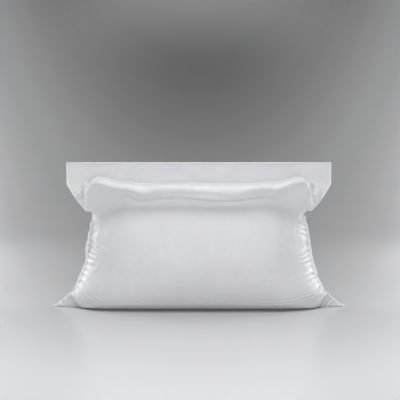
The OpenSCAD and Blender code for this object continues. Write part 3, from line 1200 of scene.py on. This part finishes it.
def care_label():
    """A blank label, sewn flat on the back of the ticking."""
    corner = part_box("care_label")[0]
    x = np.linspace(corner.x, corner.x + LABEL_SIZE[0], 9)
    z = np.linspace(corner.z, corner.z + LABEL_SIZE[1], 13)
    grid = TICK[BACK].reshape(-1, 3)
    faces = quads(np.arange(len(grid)).reshape(TICK[BACK].shape[:2]), True)
    tree = BVHTree.FromPolygons(grid.tolist(), faces.tolist())
    points = np.zeros((len(z), len(x), 3))
    for i, height in enumerate(z):
        for j, across in enumerate(x):
            hit = tree.ray_cast(Vector((across, 1, height)), Vector((0, -1, 0)))[0]
            points[i, j] = (across, hit.y + 1.1 * MM, height)
    uv = points[:, :, [0, 2]] - points[0, 0, [0, 2]]
    obj = grid_object("care_label_cloth", points, True, uv)
    thicken(obj, 0.4 * MM)
    finish_piece(obj, "pillow", "label_cloth", LABEL, "care_label")


def fibre_pads():
    """Three soft layers of fibre, rounded together to fill the ticking."""
    design, s, u = inner_design(LAYER_GAP + FILL_GAP, 70, 61)
    ticking = inside_tree(TICK)
    core_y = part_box("fibre_core")[1].y
    shells = {}
    for side in (FRONT, BACK):
        points = design.rows(s, u, side)
        points[:, :, 2] += shoulder_lobes(points, s / design.cut_h, side)
        shells[side] = pushed_inside(points, ticking, 2.0 * MM)
    for name, low, high in (("front_fibre", -1.0, -core_y), ("fibre_core", -core_y, core_y),
                            ("back_fibre", core_y, 1.0)):
        fibre_pad(name, shells, low, high)


def fibre_pad(name, shells, low, high):
    """The part of the filling between the depths low and high."""
    nap = 0.25 * MM
    whole = closed_shell(f"{name}_pad", shells)
    cutter = mesh_box(f"{name}_cutter", low + nap, high - nap)
    cut = whole.modifiers.new("cut", "BOOLEAN")
    cut.operation = "INTERSECT"
    cut.solver = "EXACT"
    cut.object = cutter
    apply_modifiers(whole)
    bpy.data.objects.remove(cutter)
    even = whole.modifiers.new("even", "REMESH")
    even.mode = "VOXEL"
    even.voxel_size = 5.5 * MM
    apply_modifiers(whole)
    soften(whole, name)
    node = "fibre_core" if name == "fibre_core" else f"{name}_layer"
    finish_piece(whole, "pillow", "polyester_fibre", FIBRE, node)


def closed_shell(name, shells):
    """A closed mesh from the front and the back grid, joined along their borders."""
    rows, columns = shells[FRONT].shape[:2]
    front = np.arange(rows * columns).reshape(rows, columns)
    back = front + rows * columns
    points = np.concatenate([shells[FRONT].reshape(-1, 3), shells[BACK].reshape(-1, 3)])
    faces = [quads(front, False), quads(back, True)]
    rims = ((front[0], back[0]), (back[-1], front[-1]), (back[:, 0], front[:, 0]),
            (front[:, -1], back[:, -1]))
    for a, b in rims:
        faces.append(np.stack([a[1:], a[:-1], b[:-1], b[1:]], -1))
    obj = mesh_object(name, points, np.concatenate(faces))
    shade_smooth(obj)
    return obj


def mesh_box(name, low, high):
    x, top = PANEL_HALF_W, SHOULDER_Z + 0.1
    corners = [(a, b, c) for a in (-x, x) for b in (low, high) for c in (-0.1, top)]
    faces = [(0, 1, 3, 2), (4, 6, 7, 5), (0, 4, 5, 1), (2, 3, 7, 6), (0, 2, 6, 4), (1, 5, 7, 3)]
    return mesh_object(name, corners, faces)


def soften(obj, name):
    """Presses small random hollows into a layer, as loose fibre has."""
    mesh = obj.data
    points = read_points(mesh)
    normals = np.zeros(len(points) * 3)
    mesh.vertices.foreach_get("normal", normals)
    rng = np.random.default_rng(len(name))
    depth = np.zeros(len(points))
    for _ in range(9):
        way = rng.normal(size=3)
        way *= 2 * np.pi / rng.uniform(0.018, 0.060) / np.linalg.norm(way)
        depth += np.sin(points @ way + rng.uniform(0, 6)) / 9
    moved = points - normals.reshape(-1, 3) * (0.6 * MM + 1.6 * MM * (depth + 0.35).clip(0))[:, None]
    mesh.vertices.foreach_set("co", moved.ravel())
    mesh.update()


# ---------------------------------------------------------------- build every piece
for panel_side in (FRONT, BACK):
    case_sheet(panel_side)
for seam_hand in (LEFT, RIGHT):
    side_seam(seam_hand)
    seam_stitches(seam_hand)
bottom_seam()
header_hem()
header_stitches()
header_base()
TICK_DESIGN, TICK, TICK_S, TICK_U = build_ticking()
fibre_pads()
ticking_panel(FRONT)
ticking_panel(BACK)
ticking_piping()
closing_stitches()
care_label()
frame["nodes"]["header_interlining"].data.materials.clear()
frame["nodes"]["header_interlining"].data.materials.append(FELT)


# ---------------------------------------------------------------- the stage
def studio():
    scene = bpy.context.scene
    scene.view_settings.view_transform = "Standard"
    world = bpy.data.worlds.new("studio")
    scene.world = world
    world.use_nodes = True
    background = world.node_tree.nodes["Background"]
    background.inputs["Color"].default_value = (0.81, 0.82, 0.84, 1)
    background.inputs["Strength"].default_value = 0.28
    floor()
    light("overhead_key", (0, -0.65, 2.38), (0, 0, 0.2), 0.8, 28)
    light("shoulder_strip", (0, 0.22, 1.5), (0, -0.03, 0.3), 0.4, 0.16, math.radians(70))
    light("low_softbox", (0, -3.0, 0.5), (0, 0, 0.2), 1.6, 30)
    light("left_rim", (-1.5, 0.75, 0.6), (-0.25, 0, 0.2), 0.8, 14)
    light("right_rim", (1.5, 0.75, 0.6), (0.25, 0, 0.2), 0.8, 14)
    light("backdrop_softbox", (0, 1.6, 3.2), (0, 3.4, 0.3), 2.0, 30, math.radians(100))


# The backdrop's greys, by distance from the dark middle behind the pillow, in a space
# that is stretched to BACKDROP_STRETCH: painted shade, darkest at that middle.
BACKDROP_STRETCH = (2.0, 0.5, 1.0)
PAINTED_SHADE_CENTRE = (0, 1.9, 2.8)
BACKDROP_REACH = 4.0
BACKDROP_PAINTED_SHADE = [(1.60, 0.016), (1.80, 0.025), (2.00, 0.051), (2.19, 0.094), (2.34, 0.127),
            (2.47, 0.159), (2.66, 0.211), (2.87, 0.276), (3.12, 0.345), (3.27, 0.420),
            (3.40, 0.515), (3.49, 0.635), (3.55, 0.730), (3.60, 0.820), (3.65, 0.880)]


def floor():
    """A pale floor that curves up into a backdrop, with painted shade darkening it towards a point
    high behind the pillow.
    """
    radius, near, start, wide = 2.2, -4.0, 1.6, 5.0
    turn = np.linspace(0, math.pi / 2, 25)
    line = [(near, 0.0)] + [(start + radius * math.sin(a), radius * (1 - math.cos(a)))
                            for a in turn] + [(start + radius, 6.0)]
    points = [[(x, y, z) for x in np.linspace(-wide, wide, 9)] for y, z in line]
    obj = grid_object("studio_floor", np.array(points), False)
    n = Nodes("studio_grey_painted_shade")
    place = n.node("ShaderNodeNewGeometry").outputs["Position"]
    stretch = n.node("ShaderNodeVectorMath", operation="MULTIPLY")
    n.link(place, stretch.inputs[0])
    stretch.inputs[1].default_value = BACKDROP_STRETCH
    # Painted shade: the grey falls towards the dark middle high on the backdrop.
    away = n.node("ShaderNodeVectorMath", operation="DISTANCE")
    n.link(stretch.outputs["Vector"], away.inputs[0])
    away.inputs[1].default_value = PAINTED_SHADE_CENTRE
    ramp = n.node("ShaderNodeValToRGB")
    ramp.color_ramp.interpolation = "CARDINAL"
    elements = ramp.color_ramp.elements
    while len(elements) < len(BACKDROP_PAINTED_SHADE):
        elements.new(0.5)
    for element, (reach, grey) in zip(elements, BACKDROP_PAINTED_SHADE):
        element.position = reach / BACKDROP_REACH
        element.color = (grey, grey, grey * 1.01, 1)
    n.link(n.math("DIVIDE", away.outputs["Value"], BACKDROP_REACH), ramp.inputs["Fac"])
    n.link(ramp.outputs["Color"], n.shader.inputs["Base Color"])
    n.shader.inputs["Roughness"].default_value = 0.32
    obj.data.materials.append(n.material)


def light(name, where, target, size, power, spread=math.pi):
    data = bpy.data.lights.new(name, "AREA")
    data.size = size
    data.energy = power
    data.spread = spread
    obj = bpy.data.objects.new(name, data)
    bpy.context.scene.collection.objects.link(obj)
    obj.location = where
    obj.rotation_euler = (Vector(target) - Vector(where)).to_track_quat("-Z", "Y").to_euler()


def camera():
    distance, rise, aim = 2.4, math.radians(4.5), Vector((0.003, 0, 0.2727))
    data = bpy.data.cameras.new("camera")
    data.lens = 85.4
    data.sensor_width = 36
    obj = bpy.data.objects.new("camera", data)
    bpy.context.scene.collection.objects.link(obj)
    away = Vector((0, -math.cos(rise), math.sin(rise)))
    obj.location = aim + away * distance
    obj.rotation_euler = (-away).to_track_quat("-Z", "Y").to_euler()
    bpy.context.scene.camera = obj


studio()
camera()
